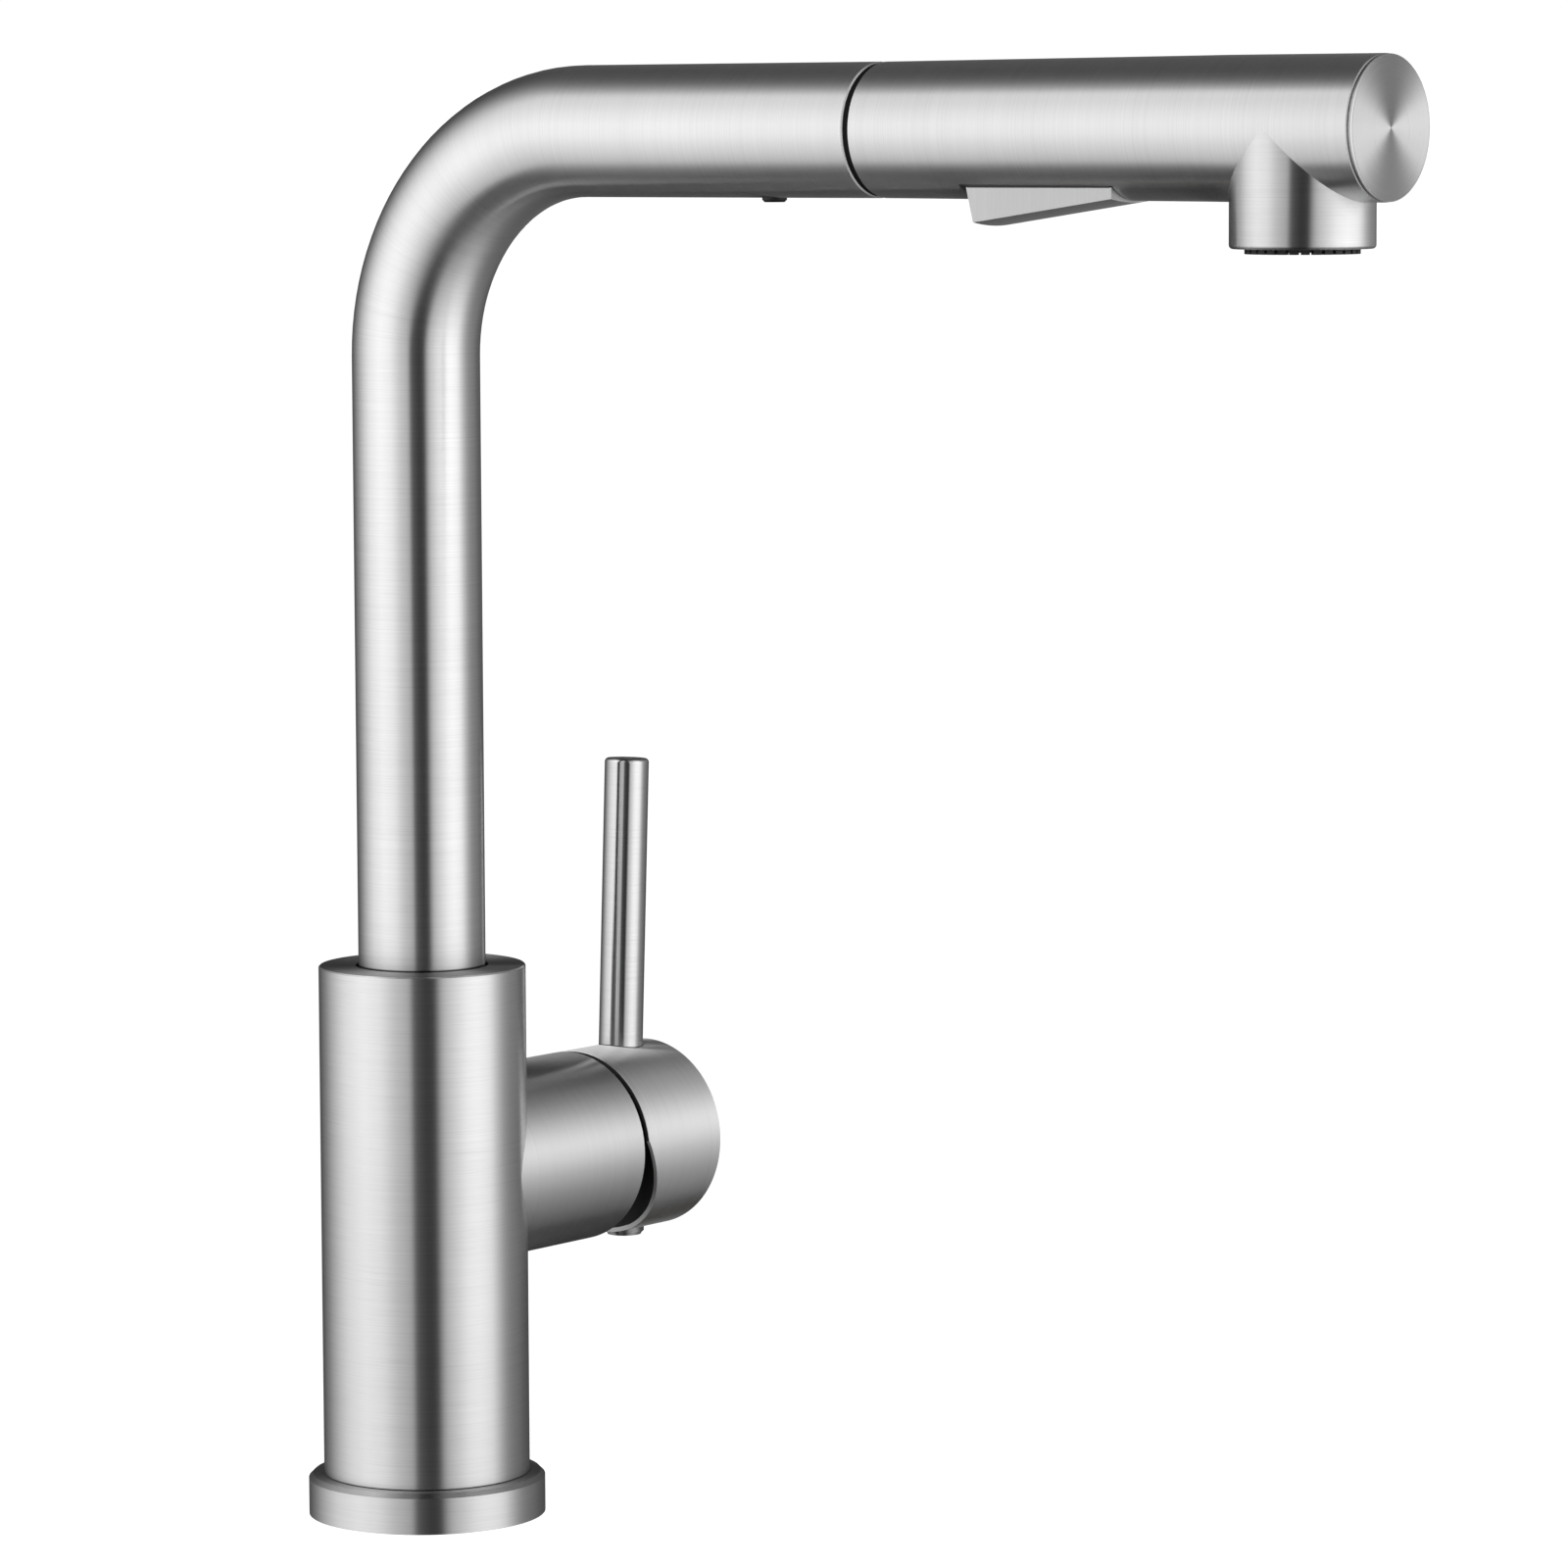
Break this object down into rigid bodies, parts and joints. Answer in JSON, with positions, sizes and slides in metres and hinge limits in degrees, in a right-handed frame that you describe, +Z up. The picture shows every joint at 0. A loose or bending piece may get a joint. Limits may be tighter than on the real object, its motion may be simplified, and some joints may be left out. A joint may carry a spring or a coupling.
{
  "type": "kitchen faucet",
  "caption": "Deck-mounted kitchen faucet with an L-shaped swivel spout, pull-out spray head with toggle and nozzle, and a side lever on a mixing cartridge.",
  "frame": {"origin": "centre of the base on the deck plane, on the column axis", "axes": "+Z up along the column, the spout reaches along -Y, the lever hub is on +X"},
  "size_m": [0.106, 0.2765, 0.4112],
  "materials": {
    "brushed_steel": "fine circumferential brush lines",
    "brass": "machined",
    "zinc_steel": "zinc plated",
    "black_rubber": "matte",
    "black_plastic": "fine moulded texture",
    "white_plastic": "moulded acetal",
    "ceramic": "lapped ceramic",
    "hose_braid": "braided nylon sleeve"
  },
  "bodies": {
    "body": {"body_shell": "brushed_steel", "handle_branch": "brushed_steel", "cartridge_seat": "brass", "base_ring": "brushed_steel", "base_gasket": "black_rubber", "valve_block": "brass", "mounting_shank": "brass", "deck_rubber_washer": "black_rubber", "deck_steel_washer": "zinc_steel", "mounting_nut": "brass", "clamp_screws": "zinc_steel", "lower_bush": "black_plastic", "upper_bush": "black_plastic", "swivel_stop_screw": "zinc_steel", "cartridge_base": "white_plastic", "cartridge_seals": "black_rubber", "fixed_disc": "ceramic", "cartridge_housing": "white_plastic", "cartridge_nut": "brass", "dome_cover": "black_plastic"},
    "stem_carrier_unit": {"stem_carrier": "white_plastic", "stem_pin": "zinc_steel"},
    "moving_disc_unit": {"moving_disc": "ceramic", "disc_driver": "black_plastic"},
    "lever": {"lever_stem": "zinc_steel", "handle_hub": "brushed_steel", "lever_rod": "brushed_steel", "hub_set_screw": "zinc_steel", "index_plug": "brushed_steel"},
    "spout": {"spout_tube": "brushed_steel", "spout_collar": "brass", "dock_sleeve": "black_plastic", "dock_ring": "black_plastic", "dock_lock_button": "black_plastic", "pull_out_hose": "hose_braid", "hose_coupling": "zinc_steel"},
    "spray_head": {"head_shell": "brushed_steel", "end_cap": "brushed_steel", "head_spigot": "black_plastic", "hose_ferrule": "zinc_steel", "hose_nut": "brass", "inlet_screen": "zinc_steel", "check_valve": "white_plastic", "waterway_block": "white_plastic", "nozzle_plate": "white_plastic", "spray_face": "black_rubber", "aerator": "white_plastic", "aerator_mesh": "zinc_steel", "toggle_pin": "zinc_steel"},
    "toggle": {"spray_toggle": "brushed_steel"},
    "spool": {"diverter_spool": "brass", "spool_seals": "black_rubber"}
  },
  "joints": [
    {"name": "spout_swivel", "type": "hinge", "parent": "body", "child": "spout", "pos_m": [0, 0, 0.11], "axis": [0, 0, 1], "range_deg": [-75, 75]},
    {"name": "head_pull", "type": "slide", "parent": "spout", "child": "spray_head", "axis": [0, -1, 0], "range_m": [0, 0.4], "deforming": ["pull_out_hose"]},
    {"name": "toggle_rock", "type": "hinge", "parent": "spray_head", "child": "toggle", "pos_m": [0, -0.1723, 0.2952], "axis": [1, 0, 0], "range_deg": [0, 10]},
    {"name": "spool_slide", "type": "slide", "parent": "spray_head", "child": "spool", "axis": [0, -1, 0], "range_m": [0, 0.0014]},
    {"name": "handle_turn", "type": "hinge", "parent": "body", "child": "stem_carrier_unit", "pos_m": [0.038, 0, 0.0754], "axis": [1, 0, 0], "range_deg": [-50, 50]},
    {"name": "handle_tilt", "type": "hinge", "parent": "stem_carrier_unit", "child": "lever", "pos_m": [0.038, 0, 0.0754], "axis": [0, 1, 0], "range_deg": [0, 25]},
    {"name": "disc_slide", "type": "slide", "parent": "stem_carrier_unit", "child": "moving_disc_unit", "axis": [0, 0, 1], "range_m": [0, 0.0031]}
  ],
  "couplings": [
    {"joint": "disc_slide", "follows": "handle_tilt", "m_per_rad": 0.0071},
    {"joint": "spool_slide", "follows": "toggle_rock", "m_per_rad": 0.0075}
  ]
}
